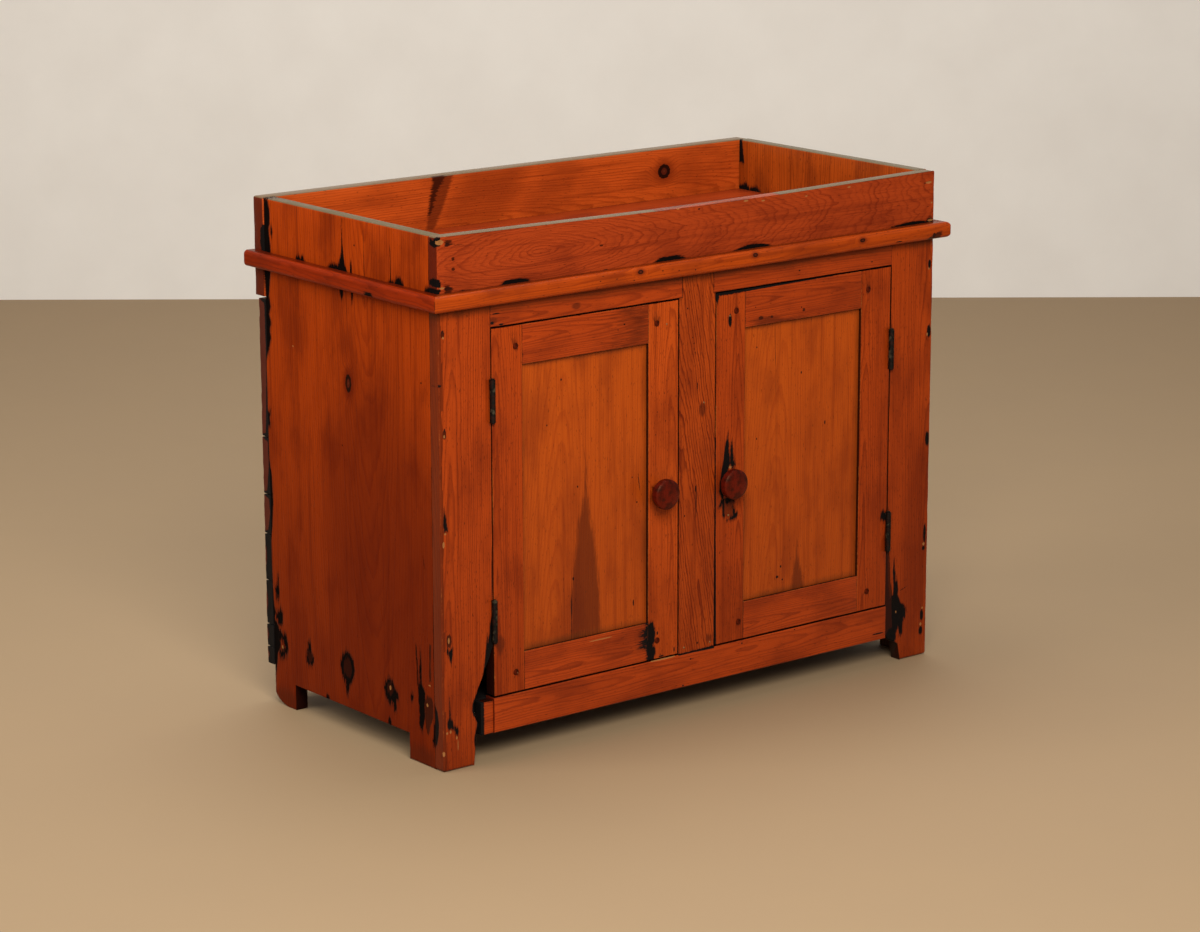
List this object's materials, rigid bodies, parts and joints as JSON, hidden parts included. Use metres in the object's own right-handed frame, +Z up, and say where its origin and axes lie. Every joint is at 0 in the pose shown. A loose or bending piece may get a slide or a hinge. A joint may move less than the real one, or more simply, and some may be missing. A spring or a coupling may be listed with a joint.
{
  "type": "dry sink cabinet",
  "caption": "Pine cupboard with a shallow open well and raised rim on top, a moulding round it, and hinged panel doors with turned knobs.",
  "frame": {"origin": "bottom centre of the bounding box, on the floor", "axes": "+X along the width, to the right seen from the front; +Y towards the back; +Z up. The doors face -Y."},
  "size_m": [1.013, 0.508, 0.8],
  "materials": {
    "side_pine": "shellacked, worn satin",
    "frame_pine": "shellacked, worn satin",
    "rail_pine": "shellacked, worn satin",
    "panel_pine": "shellacked, worn satin",
    "well_pine": "shellacked, worn satin",
    "moulding_pine": "shellacked, glossy",
    "inside_pine": "bare, aged",
    "back_pine": "bare, dark with age",
    "knob_wood": "turned, dark and polished by use",
    "peg_wood": "end grain",
    "hinge_iron": "blackened, worn"
  },
  "bodies": {
    "case": {"side_board_left": "side_pine", "side_board_right": "side_pine", "face_stile_left": "frame_pine", "face_stile_centre": "frame_pine", "face_stile_right": "frame_pine", "top_rail_left": "rail_pine", "top_rail_right": "rail_pine", "bottom_rail": "rail_pine", "well_front_board": "well_pine", "well_back_board": "well_pine", "well_floor_front": "well_pine", "well_floor_back": "well_pine", "cupboard_floor_front": "inside_pine", "cupboard_floor_back": "inside_pine", "moulding_front": "moulding_pine", "moulding_left": "moulding_pine", "moulding_right": "moulding_pine", "back_board_1": "back_pine", "back_board_2": "back_pine", "back_board_3": "back_pine", "back_board_4": "back_pine", "back_board_5": "back_pine", "back_board_6": "back_pine", "back_board_7": "back_pine", "hinge_frame_leaf_left_upper": "hinge_iron", "hinge_frame_leaf_left_lower": "hinge_iron", "hinge_frame_leaf_right_upper": "hinge_iron", "hinge_frame_leaf_right_lower": "hinge_iron", "hinge_pin_left_upper": "hinge_iron", "hinge_pin_left_lower": "hinge_iron", "hinge_pin_right_upper": "hinge_iron", "hinge_pin_right_lower": "hinge_iron"},
    "door_left": {"door_left_hinge_stile": "frame_pine", "door_left_meeting_stile": "frame_pine", "door_left_top_rail": "rail_pine", "door_left_bottom_rail": "rail_pine", "door_left_panel": "panel_pine", "door_left_knob": "knob_wood", "door_left_peg_top_hinge": "peg_wood", "door_left_peg_bottom_hinge": "peg_wood", "door_left_peg_top_meeting": "peg_wood", "door_left_peg_bottom_meeting": "peg_wood", "hinge_door_leaf_left_upper": "hinge_iron", "hinge_door_leaf_left_lower": "hinge_iron"},
    "door_right": {"door_right_hinge_stile": "frame_pine", "door_right_meeting_stile": "frame_pine", "door_right_top_rail": "rail_pine", "door_right_bottom_rail": "rail_pine", "door_right_panel": "panel_pine", "door_right_knob": "knob_wood", "door_right_peg_top_hinge": "peg_wood", "door_right_peg_bottom_hinge": "peg_wood", "door_right_peg_top_meeting": "peg_wood", "door_right_peg_bottom_meeting": "peg_wood", "hinge_door_leaf_right_upper": "hinge_iron", "hinge_door_leaf_right_lower": "hinge_iron"}
  },
  "joints": [
    {"name": "door_left_swing", "type": "hinge", "parent": "case", "child": "door_left", "pos_m": [-0.3935, -0.2272, 0.3825], "axis": [0, 0, -1], "range_deg": [0, 170]},
    {"name": "door_right_swing", "type": "hinge", "parent": "case", "child": "door_right", "pos_m": [0.3965, -0.2272, 0.3725], "axis": [0, 0, 1], "range_deg": [0, 170]}
  ]
}
